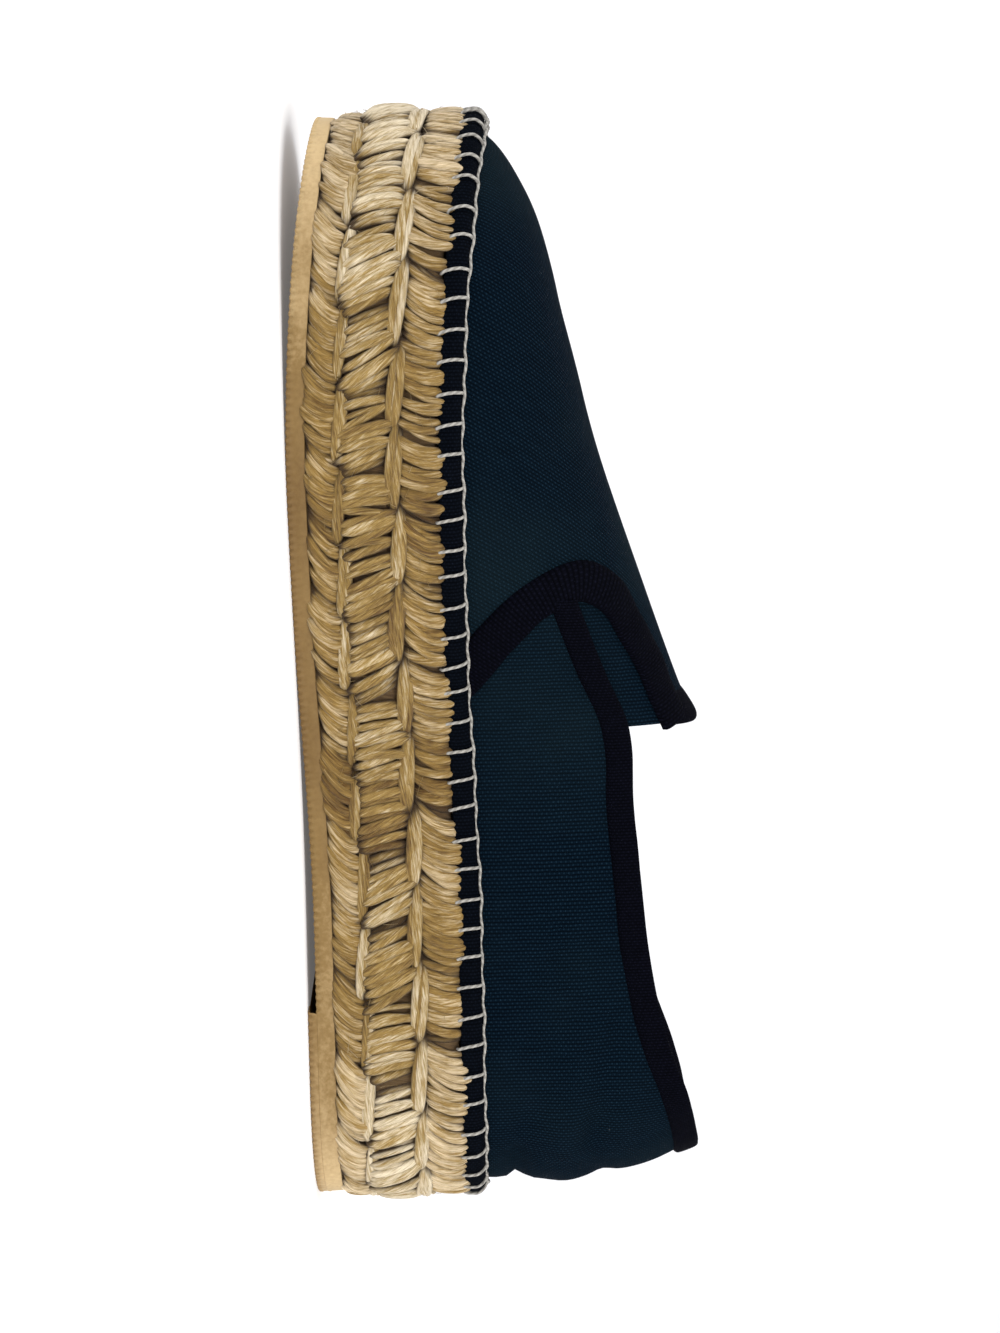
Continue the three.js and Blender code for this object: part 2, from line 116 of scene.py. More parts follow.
# Creases of the canvas, from one side-view place to another: side, 1 medial, -1 lateral, 0 both;
# depth, how far the trough goes in (a ridge is negative); width, its half width. All in mm.
SIDE_BLEND, CREASE_FADE = 6.0, 6.0
CREASES = table("side x z to_x to_z depth width", [
    (0, -2, 69, 24, 65.5, 0.9, 2.8),
    (1, 20, 66, 46, 71, 1.0, 3.4),
    (-1, 18, 65, 36, 62, 0.9, 3.6),
    (0, -2, 58.5, 22, 58, -1.1, 5.0),
    (1, 18, 59, 44, 62, -0.6, 5.0),
    (0, -2, 47.3, 15, 47, 1.9, 2.0),
    (1, 12, 47, 26, 50, 0.8, 3.0),
    (-1, 14, 47.5, 30, 51, 0.8, 3.5),
    (0, -6, 91, 16, 90, 1.6, 9.0),
    (1, 58, 44, 66, 71, 0.5, 5.0),
    (-1, 70, 45, 60, 72, 0.6, 5.5),
    (1, 92, 52, 106, 66, -0.5, 6.0),
    (1, 158, 46, 176, 58, 0.5, 6.0),
    (-1, 160, 47, 182, 56, 0.6, 6.0),
    (0, 196, 62, 214, 58, -0.3, 8.0),
    (1, 222, 46, 238, 49, 0.3, 5.0),
])


def read(chart, column, at):
    """A column of a table on a smooth curve through its rows."""
    places, values = chart["at"], chart[column]
    rows = np.arange(len(places))
    before, after = np.maximum(rows - 1, 0), np.minimum(rows + 1, rows[-1])
    slopes = (values[after] - values[before]) / (places[after] - places[before])
    row = np.clip(np.searchsorted(places, at) - 1, 0, rows[-1] - 1)
    step = places[row + 1] - places[row]
    t = np.clip((at - places[row]) / step, 0, 1)
    level = (1 + 2 * t) * (1 - t) ** 2 * values[row] + t * t * (3 - 2 * t) * values[row + 1]
    return level + step * (t * (1 - t) ** 2 * slopes[row] + t * t * (t - 1) * slopes[row + 1])


def smooth(value, low, high):
    t = np.clip((value - low) / (high - low), 0, 1)
    return t * t * (3 - 2 * t)


def middle_line(x):
    return BALL_WIDTH * read(PLAN, "centre", x / LENGTH)


def floor_gap(x):
    """How far the rubber's underside lies above the floor."""
    spring = np.maximum(0, (x - SPRING_START) / (LENGTH - SPRING_START))
    return HEEL_LIFT * (1 - smooth(x, LIFT_LATERAL, ARCH_END)) + TOE_SPRING * spring**SPRING_CURVE


def braid_foot(x):
    return floor_gap(x) + RUBBER_THICKNESS + CLEARANCE


def upper_foot(x):
    return braid_foot(x) + BRAID_HEIGHT + CLEARANCE


def band_top(x):
    return upper_foot(x) + BAND_HEIGHT


def collar_line(x):
    return COLLAR_HEIGHT + read(COLLAR, "lift", x / LENGTH) * (HEEL_TOP_HEIGHT - COLLAR_HEIGHT)


INSTEP_RISE = INSTEP_HEIGHT - upper_foot(np.array(TONGUE_TIP))


def side_line(side, sign):
    """One side's widest line from the heel end to the toe end: rim x, y and root x."""
    angle = np.linspace(0, math.pi / 2, 400)
    far, wide = np.sin(angle) ** (2 / END_BLUNT), np.cos(angle) ** (2 / END_BLUNT)
    along = np.linspace(HEEL_CENTRE, TOE_CENTRE, 800)[1:-1]
    x = np.concatenate([HEEL_CENTRE * (1 - far[::-1]), along,
                        TOE_CENTRE + (LENGTH - TOE_CENTRE) * far])
    share = np.concatenate([wide[::-1], np.ones(len(along)), wide])
    root = np.clip(x, HEEL_CENTRE, TOE_CENTRE)
    return np.array([x, middle_line(x) + sign * share * read(PLAN, side, x / LENGTH), root])


ROUND_STEPS, TURN_STEPS = 4000, 5


def outline():
    """The widest line at even steps round the shoe: walked, rim, root and outward."""
    medial, lateral = side_line("medial", 1), side_line("lateral", -1)
    loop = np.concatenate([medial, lateral[:, -2::-1]], axis=1)
    walked = np.concatenate([[0], np.cumsum(np.hypot(*np.diff(loop[:2], axis=1)))])
    even = np.linspace(0, walked[-1], ROUND_STEPS + 1)
    x, y, root = (np.interp(even, walked, row) for row in loop)
    ahead, behind = (np.roll(even[:-1], way * TURN_STEPS) for way in (-1, 1))
    along = [np.interp(ahead, even, row) - np.interp(behind, even, row) for row in (x, y)]
    long = np.hypot(*along)
    out_x, out_y = (np.append(row, row[0]) for row in (-along[1] / long, along[0] / long))
    return even, np.array([x, y, root, middle_line(root), out_x, out_y])


WALK, RIM = outline()
AROUND = WALK[-1]
HALF = WALK[int(np.argmax(RIM[0]))]
LOBES = round(AROUND / LOBE_PITCH)
MEDIAL_LINE = RIM[0][WALK <= HALF], WALK[WALK <= HALF]
LATERAL_LINE = RIM[0][WALK >= HALF][::-1], WALK[WALK >= HALF][::-1]


def ribs(walked):
    """Rim x, y, root x, y and outward x, y at places round the outline."""
    return [np.interp(np.mod(walked, AROUND), WALK, row) for row in RIM]


def in_frame(x, y, z):
    """Millimetres from the heel end to the part's frame in metres."""
    return np.stack([(x - SHIFT[0]) * MM, (y - SHIFT[1]) * MM, z * MM], axis=-1)


rubber_low, rubber_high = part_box("outsole")
rubber_rim = RIM[:2] - RIM[4:] * RUBBER_INSET
SHIFT = [(rubber_rim[i].min() + rubber_rim[i].max()) / 2
         - (rubber_low[i] + rubber_high[i]) / 2 / MM for i in (0, 1)]


def ring(walked, inset, height, share=0.0):
    """Points in from the widest line, drawn to the middle line by a share, at height(x)."""
    x, y, root_x, root_y, out_x, out_y = ribs(walked)
    x, y = x - out_x * inset, y - out_y * inset
    x, y = x + (root_x - x) * share, y + (root_y - y) * share
    return in_frame(x, y, height(x))


def last(walked, climb, grow=0.0):
    """The last's skin, in mm: climb goes from 0 at the platform to 1 on the crown line."""
    rim_x, rim_y, root_x, root_y, out_x, out_y = ribs(walked)
    power = 2 / read(CROWN, "square", root_x / LENGTH)
    inward = 1 - np.cos(climb * math.pi / 2) ** power
    upward = np.sin(climb * math.pi / 2) ** power
    x = (rim_x - out_x * (UPPER_INSET - grow)) * (1 - inward) + root_x * inward
    y = (rim_y - out_y * (UPPER_INSET - grow)) * (1 - inward) + root_y * inward
    rise = INSTEP_RISE * read(CROWN, "rise", x / LENGTH)
    behind = np.maximum(0, 1 - rim_x / HEEL_CENTRE)
    swell = HEEL_SWELL * behind * (1 - inward) * np.sin(
        math.pi * np.minimum(1, upward / SWELL_SPAN))
    return np.array([x - swell, y, upper_foot(x) + upward * (rise + grow)])


def climb_to(walked, height):
    """How far up each rib the last reaches height(x)."""
    low, high = np.zeros(np.shape(walked)), np.ones(np.shape(walked))
    for _ in range(24):
        middle = (low + high) / 2
        x, _, z = last(walked, middle)
        above = z > height(x)
        high, low = np.where(above, middle, high), np.where(above, low, middle)
    return (low + high) / 2


def on_skin(x, z, sign):
    """Where the last shows x and z from one side, as walked and climb."""
    line = MEDIAL_LINE if sign > 0 else LATERAL_LINE
    aim = x
    for _ in range(6):
        walked = np.interp(aim, *line)
        climb = climb_to(walked, lambda at: z)
        aim = aim + x - last(walked, climb)[0]
    return walked, climb


def crease(x, y, z):
    """How far the canvas stands out of the plain last."""
    out = np.zeros(np.shape(x))
    side_of = np.tanh((y - middle_line(x)) / SIDE_BLEND)
    for side, x0, z0, x1, z1, depth, width in zip(*CREASES.values()):
        reach = np.hypot(x1 - x0, z1 - z0)
        along = np.clip(((x - x0) * (x1 - x0) + (z - z0) * (z1 - z0)) / reach**2, 0, 1)
        off = np.hypot(x - x0 - along * (x1 - x0), z - z0 - along * (z1 - z0))
        held = 1 if side == 0 else np.clip(0.5 + 0.5 * side * side_of, 0, 1)
        out -= depth * held * np.exp(-((off / width) ** 2))
    clear = smooth(z, band_top(x) - 1, band_top(x) + CREASE_FADE)
    return out * clear


def canvas(walked, climb, grow=0.0):
    """The canvas's skin with its creases, in mm."""
    return last(walked, climb, grow + crease(*last(walked, climb)))


def edge_x(z):
    t = np.linspace(0, 1, 200)
    heights = INSTEP_HEIGHT * read(VAMP_EDGE, "up", t)
    return np.interp(z, heights, LENGTH * read(VAMP_EDGE, "along", t))


# Making pieces

COPY_GAP, PATH_STEP = 2, 0.01


def pick(*pieces):
    bpy.ops.object.select_all(action="DESELECT")
    for piece in pieces:
        piece.select_set(True)
    bpy.context.view_layer.objects.active = pieces[-1]


def laid(name, columns, rows, place, copies=1, bunch=1, flip=False, closed=True, chart=None):
    """A grid primitive, arrayed if it repeats, whose corners are laid on the shoe by
    place(which, u, v) and whose own map in mm is chart(which, u, v). place may also give how much
    painted shade each corner gets, from 0 to 1, from how deep in a hollow it lies."""
    bpy.ops.object.select_all(action="DESELECT")
    bpy.ops.mesh.primitive_grid_add(
        x_subdivisions=columns, y_subdivisions=rows, size=1, location=(0.5, 0.5, 0))
    piece = bpy.context.object
    piece.name = piece.data.name = name
    bpy.ops.object.transform_apply()
    if copies > 1:
        array = piece.modifiers.new("repeat", "ARRAY")
        array.use_relative_offset, array.use_constant_offset = False, True
        array.constant_offset_displace, array.count = (COPY_GAP, 0, 0), copies
        bpy.ops.object.modifier_apply(modifier=array.name)
    mesh = piece.data
    spots = np.empty(len(mesh.vertices) * 3)
    mesh.vertices.foreach_get("co", spots)
    across, v = spots.reshape(-1, 3)[:, 0], spots.reshape(-1, 3)[:, 1]
    which = np.floor((across + 0.25) / COPY_GAP)
    u = np.clip(across - COPY_GAP * which, 0, 1)
    v = np.clip(v, 0, 1)
    spots = place(which, u, v)
    if isinstance(spots, tuple):
        spots, hollow = spots
        depth = mesh.attributes.new("hollow", "FLOAT", "POINT")
        depth.data.foreach_set("value", hollow)
    mesh.vertices.foreach_set("co", np.ascontiguousarray(spots).ravel())
    corners = np.empty(len(mesh.loops), int)
    mesh.loops.foreach_get("vertex_index", corners)
    flat = np.stack(chart(which, u, v) if chart else (u, v), axis=-1)
    mesh.uv_layers.active.data.foreach_set("uv", flat[corners].ravel())
    kind = mesh.attributes.new("strand", "FLOAT", "POINT")
    chance = np.random.default_rng(7).random((2, copies))
    copy = which.astype(int)
    kind.data.foreach_set("value", 0.5 * chance[0][copy // bunch] + 0.5 * chance[1][copy])
    mesh.update()
    bpy.ops.object.mode_set(mode="EDIT")
    bpy.ops.mesh.select_all(action="SELECT")
    if closed:
        bpy.ops.mesh.remove_doubles(threshold=1e-6)
    if flip:
        bpy.ops.mesh.flip_normals()
    bpy.ops.object.mode_set(mode="OBJECT")
    bpy.ops.object.shade_smooth()
    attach(piece, "root")
    return piece


def tube(path, across, deep, v, lift=(0.0, 0.0, 1.0)):
    """Corners of round strands: path gives (along, up, out) of their middle at each corner."""
    ahead, behind = path(PATH_STEP), path(-PATH_STEP)
    way = ahead - behind
    way /= np.linalg.norm(way, axis=-1, keepdims=True)
    wide = np.cross(way, np.broadcast_to(lift, way.shape))
    wide /= np.linalg.norm(wide, axis=-1, keepdims=True)
    out = np.cross(wide, way)
    angle = 2 * math.pi * v
    return (path(0.0) + wide * (across * np.cos(angle))[:, None]
            + out * (deep * np.sin(angle))[:, None])


def wrapped(spots, foot):
    """Corners given as along, up, out, laid round the widest line over foot(x)."""
    x, y, _, _, out_x, out_y = ribs(spots[:, 0])
    return in_frame(x + out_x * spots[:, 2], y + out_y * spots[:, 2], foot(x) + spots[:, 1])


class Value:
    """A socket that adds, subtracts and multiplies like a number."""

    def __init__(self, finish, socket):
        self.finish, self.socket = finish, socket

    def math(self, operation, *others):
        terms = [self, *others]
        return self.finish.node("Math", {"operation": operation}, dict(enumerate(terms)))

    def __add__(self, other):
        return self.math("ADD", other)

    def __sub__(self, other):
        return self.math("SUBTRACT", other)

    def __mul__(self, other):
        return self.math("MULTIPLY", other)

    def __rsub__(self, other):
        return (self * -1) + other

    __radd__, __rmul__ = __add__, __mul__

    def clamp(self):
        return self.finish.node("Clamp", {}, {0: self})

    def between(self, low, high):
        """0 below low, 1 above high, smooth between."""
        return self.finish.node("MapRange", {"interpolation_type": "SMOOTHSTEP"},
                                {"Value": self, "From Min": low, "From Max": high})


class Finish:
    """One material and the nodes that feed its shader."""

    def __init__(self, name, **fixed):
        self.material = bpy.data.materials.new(name)
        self.material.use_nodes = True
        self.nodes = self.material.node_tree.nodes
        self.links = self.material.node_tree.links
        self.shader = self.nodes["Principled BSDF"]
        for socket, value in fixed.items():
            self.feed(socket.replace("_", " "), value)
        self.map = self.node("UVMap", {}, {}, "UV")
        self.place = self.node("TexCoord", {}, {}, "Object")

    def plug(self, socket, value):
        if isinstance(value, Value):
            self.links.new(value.socket, socket)
        else:
            socket.default_value = (*value, 1) if socket.type == "RGBA" else value

    def feed(self, name, value):
        self.plug(self.shader.inputs[name], value)

    def node(self, kind, settings, sockets, output=0):
        made = self.nodes.new("ShaderNode" + kind)
        for name, value in settings.items():
            if name == "stops":
                ramp = made.color_ramp
                for stop, (place, colour) in enumerate(value):
                    spot = ramp.elements[stop] if stop < 2 else ramp.elements.new(place)
                    spot.position, spot.color = place, (*colour, 1)
            else:
                setattr(made, name, value)
        for name, value in sockets.items():
            self.plug(made.inputs[name], value)
        return Value(self, made.outputs[output])

    def ramp(self, value, stops):
        return self.node("ValToRGB", {"stops": stops}, {0: value})

    def noise(self, scale, detail=2.0, roughness=0.5, at=None, distortion=0.0):
        return self.node("TexNoise", {}, {
            "Vector": at or self.place, "Scale": scale, "Detail": detail,
            "Roughness": roughness, "Distortion": distortion}, "Fac")

    def mix(self, share, low, high):
        return self.node("Mix", {"data_type": "RGBA"}, {"Factor": share, 6: low, 7: high}, 2)

    def split(self, vector):
        parts = self.node("SeparateXYZ", {}, {0: vector}).socket.node
        return [Value(self, socket) for socket in parts.outputs]

    def stretched(self, vector, x, y):
        return self.node("Mapping", {}, {"Vector": vector, "Scale": (x, y, 1.0)})

    def ends(self):
        """0 at the middle of the shoe, up to 1 at its toe and heel, where it paints light into the
        colour.
        """
        return (self.split(self.place)[0].math("ABSOLUTE") * 9 - 0.35).clamp()

    def bump(self, height, distance, strength=1.0, under=None):
        sockets = {"Height": height, "Distance": distance, "Strength": strength}
        if under:
            sockets["Normal"] = under
        return self.node("Bump", {}, sockets)

    def cover(self, *pieces):
        for piece in pieces:
            piece.data.materials.clear()
            piece.data.materials.append(self.material)


# Materials

def jute_finish(name, light, middle, dark):
    """Silky retted fibre: fine streaks along the strand, a slow twist, painted light that makes it
    paler towards the toe and heel, and hollows painted dark brown as shade, mixed with darker
    patches at random.
    """
    f = Finish(name, Sheen_Weight=0.06, Sheen_Roughness=0.45, Specular_IOR_Level=0.3)
    strand = f.node("Attribute", {"attribute_name": "strand"}, {}, "Fac")
    hollow = f.node("Attribute", {"attribute_name": "hollow"}, {}, "Fac")
    along, around, _ = f.split(f.map)
    twisted = f.node("CombineXYZ", {}, {
        0: along * 0.11, 1: around * 9 + along * 0.3, 2: strand * 40})
    streaks = f.noise(1.5, 3, 0.6, twisted, 0.3)
    fibres = f.noise(5.5, 3, 0.7, f.stretched(twisted, 0.8, 1.0))
    patch = f.noise(70, 3, 0.6)
    # Painted light: f.ends() lifts the tone, so the jute is paler towards the toe and heel.
    tone = (streaks * 1.1 + fibres * 0.85 + patch * 0.5 + strand * 0.45
            + f.ends() * 0.37 - 1.03).clamp()
    lit = f.ramp(tone, [(0.12, dark), (0.92, light), (0.5, middle)])
    # Painted shade: the hollow attribute (inward faces, deep corners) darkens the colour towards
    # deep brown, mixed with random darker patches.
    shade_and_dust = (hollow * 1.15 + (0.5 - patch) * 0.5).between(0.12, 0.9)
    f.feed("Base Color", f.mix(shade_and_dust * 0.95, lit, tuple(0.42 * c for c in dark)))
    f.feed("Roughness", 0.72 - tone * 0.25 + shade_and_dust * 0.2)
    f.feed("Normal", f.bump(streaks * 0.9 + fibres * 0.8, 0.0007, 1.0))
    return f


def weave(f, pitch_u, pitch_v, vector):
    """A plain weave's relief: 1 on the threads' crowns, 0 in the holes."""
    u, v, _ = f.split(vector)
    warp = (u * (math.pi / pitch_u)).math("SINE")
    weft = (v * (math.pi / pitch_v)).math("SINE")
    over = (warp * weft * 3 + 0.5).clamp()
    return warp.math("ABSOLUTE") * (over * 0.4 + 0.6) * (weft.math("ABSOLUTE") * 0.4 + 0.6)


def canvas_finish():
    f = Finish("navy_canvas", Specular_IOR_Level=0.015)
    wander = f.noise(260, 2) - 0.5
    threads = weave(f, 0.85, 0.55, f.node("VectorMath", {"operation": "ADD"}, {
        0: f.map, 1: f.node("CombineXYZ", {}, {0: wander * 0.35, 1: wander * 0.25})}))
    slub = f.noise(1.1, 3, 0.6, f.stretched(f.map, 1.0, 0.14))
    cloud = f.noise(16, 3, 0.5)
    tone = (threads * 0.75 + slub * 0.4 - 0.12).clamp()
    colour = f.ramp(tone, [(0.1, (0.0006, 0.0016, 0.0032)), (0.95, (0.0075, 0.0195, 0.0320)),
                           (0.55, (0.0014, 0.0058, 0.0120))])
    faded = f.mix((cloud - 0.35).between(0.0, 0.4) * 0.35, colour, (0.0085, 0.0175, 0.0200))
    lint = f.noise(900, 1).between(0.80, 0.84) * f.noise(160, 1).between(0.56, 0.66)
    f.feed("Base Color", f.mix(lint * 0.6, faded, (0.22, 0.24, 0.25)))
    f.feed("Roughness", 0.93 - threads * 0.12)
    f.feed("Normal", f.bump(threads + slub * 0.35, 0.00035, 0.85))
    return f


def tape_finish(name, pitch, tint):
    """Black woven binding with a soft nap."""
    f = Finish(name, Specular_IOR_Level=0.02)
    threads = weave(f, pitch, pitch * 0.7, f.map)
    nap = f.noise(700, 3, 0.7)
    tone = (threads * 0.6 + nap * 0.5 - 0.1).clamp()
    dark, light = (tuple(share * c for c in tint) for share in (0.35, 2.6))
    f.feed("Base Color", f.ramp(tone, [(0.2, dark), (0.95, light), (0.6, tint)]))
    f.feed("Roughness", 0.95 - threads * 0.1)
    f.feed("Normal", f.bump(threads * 0.6 + nap * 0.6, 0.0003, 0.8))
    return f


def rubber_finish():
    """Tan rubber with a scuffed side, made lighter towards the toe and heel by painted light, and a
    tread painted darker brown as shade where it faces down; under the waist two grooves cross it,
    painted near black as shade, with a plain raised oval between them."""
    f = Finish("tan_rubber", Specular_IOR_Level=0.2)
    grain = f.noise(900, 3, 0.6)
    cloud = f.noise(28, 4, 0.55)
    dots = f.noise(340, 2).between(0.62, 0.75)
    x, y, height = f.split(f.place)
    _, _, facing = f.split(f.node("NewGeometry", {}, {}, "Normal"))
    under = (facing * -1).between(0.5, 0.95)
    waist = in_frame(LENGTH / 2, middle_line(LENGTH / 2), 0.0)
    waist_x, waist_y = float(waist[0]), float(waist[1])
    reach, edge = GROOVE_REACH * MM, GROOVE_WIDTH / 2 * MM
    across = (y - waist_y).math("ABSOLUTE").between(reach + 0.0004, reach - 0.0004)
    off_groove = ((x - waist_x).math("ABSOLUTE") - GROOVE_OFF * MM).math("ABSOLUTE")
    grooves = off_groove.between(edge + 0.0001, edge - 0.0001)
    off_x, off_y = (x - waist_x) * (1 / 0.0085), (y - waist_y) * (1 / 0.0135)
    oval = (off_x * off_x + off_y * off_y).math("SQRT")
    ridge = (oval - 1).math("ABSOLUTE").between(0.09, 0.04) * under
    cut = grooves * across * under
    # Painted light: f.ends() makes the side lighter towards the toe and heel, over random cloud and
    # grain.
    side = f.ramp((cloud * 0.7 + grain * 0.25 + f.ends() * 0.5 - 0.1).clamp(), [
        (0.25, (0.125, 0.069, 0.019)), (0.80, (0.500, 0.365, 0.190)),
        (0.50, (0.205, 0.127, 0.043))])
    worn = (0.0016 - height).between(-0.001, 0.0016) * 0.5 + dots * 0.12
    dirty = f.mix(worn, side, (0.18, 0.105, 0.040))
    # Painted shade: where the rubber faces down, the tread is painted darker brown.
    tread = f.mix(under * 0.75, dirty, (0.14, 0.078, 0.032))
    # Painted shade: the two grooves, cut only in the bump, are painted near black-brown.
    f.feed("Base Color", f.mix(cut * 0.6, tread, (0.05, 0.028, 0.012)))
    f.feed("Roughness", 0.5 + cloud * 0.2 + dots * 0.1)
    relief = f.bump(ridge - cut, 0.0008)
    f.feed("Normal", f.bump(grain + dots * 0.6, 0.00012, 0.6, relief))
    return f


def thread_finish():
    f = Finish("grey_thread", Sheen_Weight=0.03, Specular_IOR_Level=0.2)
    along, around, _ = f.split(f.map)
    ply = ((around * (4 * math.pi) + along * 3.6).math("SINE") * 0.5 + 0.5)
    fluff = f.noise(1500, 2)
    colour = f.ramp((ply * 0.5 + fluff * 0.6).clamp(), [
        (0.1, (0.15, 0.14, 0.125)), (0.85, (0.36, 0.345, 0.31))])
    f.feed("Base Color", colour)
    f.feed("Roughness", 0.85 - ply * 0.15)
    f.feed("Normal", f.bump(ply + fluff * 0.4, 0.0002, 0.5))
    return f


def insole_finish():
    f = Finish("sand_insole", Sheen_Weight=0.15, Specular_IOR_Level=0.2)
    threads = weave(f, 0.9, 0.9, f.map)
    wear = f.noise(24, 3, 0.6)
    colour = f.ramp((threads * 0.6 + wear * 0.5 - 0.05).clamp(), [
        (0.1, (0.16, 0.11, 0.06)), (0.9, (0.55, 0.43, 0.28)), (0.5, (0.40, 0.29, 0.17))])
    f.feed("Base Color", colour)
    f.feed("Roughness", 0.9 - threads * 0.1)
    f.feed("Normal", f.bump(threads, 0.0003, 0.8))
    return f


jute = jute_finish(
    "golden_jute", (0.79, 0.635, 0.41), (0.322, 0.196, 0.044), (0.095, 0.042, 0.005))
pale_jute = jute_finish(
    "pale_jute", (0.85, 0.73, 0.52), (0.356, 0.226, 0.057), (0.108, 0.050, 0.008))
# Painted shade: the core is the same jute, coloured dark for the shade deep between the lobes.
shaded_jute = jute_finish(
    "shaded_jute_core", (0.26, 0.16, 0.065), (0.14, 0.078, 0.028), (0.05, 0.025, 0.009))
navy = canvas_finish()
binding = tape_finish("black_binding", 0.9, (0.0016, 0.0018, 0.0042))
banding = tape_finish("black_band", 0.8, (0.0018, 0.0028, 0.0052))
rubber = rubber_finish()
thread = thread_finish()
sand = insole_finish()


# The rubber sole

def lift_line(x, y):
    """Positive in front of the heel lift's breast."""
    return x - LIFT_LATERAL + (LIFT_LATERAL - LIFT_MEDIAL) * (y + HEEL_WIDTH / 2) / HEEL_WIDTH


# in: inset past the rubber's side; share: how far drawn to the middle line; up: height over the
# underside; tooth: how much the edge's teeth show
SOLE_SIDE = table("inset share up tooth", [
    (9.0, 1.0, 0.5, 0), (9.0, 0.75, 0.5, 0), (9.0, 0.5, 0.5, 0), (9.0, 0.25, 0.5, 0),
    (9.0, 0, 0.5, 0), (3.4, 0, 0.5, 0), (3.0, 0, 0.1, 0.6), (2.2, 0, 0.1, 0.6), (1.9, 0, 0.5, 0),
    (1.1, 0, 0.5, 0), (0.75, 0, 0.0, 1.0), (0.25, 0, 0.0, 1.0), (0.0, 0, 0.25, 1.0),
    (-0.05, 0, 0.8, 0.9), (0.1, 0, 1.1, 0), (0.15, 0, 2.4, 0), (0.2, 0, 3.7, 0), (0.4, 0, 4.1, 0),
    (0.9, 0, 4.2, 0), (6.0, 0, 4.2, 0), (6.0, 1.0, 4.2, 0),
])
TOOTH, BITE, SOLE_COLUMNS = 1.7, 0.34, 1920


def row_of(side, v):
    """The table's row that each corner follows."""
    return np.rint(v * (len(side["up"]) - 1)).astype(int)


def rubber_rings(base, side):
    def place(which, u, v):
        row = row_of(side, v)
        walked = u * AROUND
        x, y = ribs(walked)[:2]
        saw = np.abs(((walked * round(AROUND / TOOTH) / AROUND) % 1) * 2 - 1)
        shown = side["tooth"][row] * (smooth(lift_line(x, y), -1, 2) if base is floor_gap else 1)
        bite = BITE * shown * smooth(saw, 0.25, 0.75)
        inset = RUBBER_INSET + side["inset"][row] + bite
        rise = side["up"][row] + 0.35 * bite
        return ring(walked, inset, lambda at: base(at) + rise, side["share"][row])
    return place


def mm_round(rows):
    """A map in mm: once round the shoe, and over rows mm."""
    return lambda which, u, v: (u * AROUND, v * rows)


sole_rubber = laid("sole_rubber", SOLE_COLUMNS, len(SOLE_SIDE["up"]) - 1,
                   rubber_rings(floor_gap, SOLE_SIDE), chart=mm_round(20.0), flip=True)
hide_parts("outsole")

LIFT_SIDE = table("inset share up tooth", [
    (7.0, 1.0, 0.35, 0), (7.0, 0, 0.35, 0), (3.4, 0, 0.35, 0), (3.0, 0, 0.05, 0.6),
    (2.2, 0, 0.05, 0.6), (1.9, 0, 0.35, 0), (1.1, 0, 0.35, 0), (0.75, 0, 0.0, 1.0),
    (0.25, 0, 0.0, 1.0), (0.0, 0, 0.25, 1.0), (-0.05, 0, 0.8, 0.9), (0.08, 0, 1.1, 0),
    (0.1, 0, 2.2, 0), (0.12, 0, 2.6, 0), (7.0, 0, 2.6, 0), (7.0, 1.0, 2.6, 0),
])
heel_lift = laid("heel_lift", SOLE_COLUMNS, len(LIFT_SIDE["up"]) - 1,
                 rubber_rings(lambda x: 0 * x, LIFT_SIDE), chart=mm_round(14.0), flip=True)
bpy.ops.object.mode_set(mode="EDIT")
bpy.ops.mesh.select_all(action="SELECT")
breast_way = Vector((HEEL_WIDTH, LIFT_LATERAL - LIFT_MEDIAL, BREAST_SLOPE)).normalized()
breast_spot = in_frame(LIFT_LATERAL, -HEEL_WIDTH / 2, BREAST_HEIGHT)
bpy.ops.mesh.bisect(plane_co=breast_spot, plane_no=breast_way, use_fill=True, clear_outer=True)
bpy.ops.object.mode_set(mode="OBJECT")
rubber.cover(sole_rubber, heel_lift)
for piece in (sole_rubber, heel_lift):
    pick(piece)
    bpy.ops.object.shade_smooth_by_angle(angle=math.radians(35))

# The braided jute: a core painted dark as shade, with three rows of lobes and two chains over it

CORE_SIDE = table("inset share up", [
    (7.0, 1.0, 0.2), (7.0, 0, 0.2), (3.4, 0, 0.3), (2.5, 0, 3.0), (4.2, 0, 6.6), (2.2, 0, 9.0),
    (1.7, 0, 12.5), (2.0, 0, 16.5), (3.6, 0, 19.0), (2.2, 0, 21.6), (2.1, 0, 25.0),
    (3.2, 0, 27.9), (7.0, 0, 28.1), (7.0, 1.0, 28.1),
])


def plain_rings(base, side):
    def place(which, u, v):
        row = row_of(side, v)
        return ring(u * AROUND, side["inset"][row], lambda x: base(x) + side["up"][row],
                    side["share"][row])
    return place


shaded_jute_core = laid("shaded_jute_core", 520, len(CORE_SIDE["up"]) - 1,
                 plain_rings(braid_foot, CORE_SIDE), flip=True,
                 chart=lambda which, u, v: (v * 40, u * AROUND / 2.6 + v * 3))
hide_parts("braided_platform")
shaded_jute.cover(shaded_jute_core)

YARNS = 10
rng = np.random.default_rng(21)


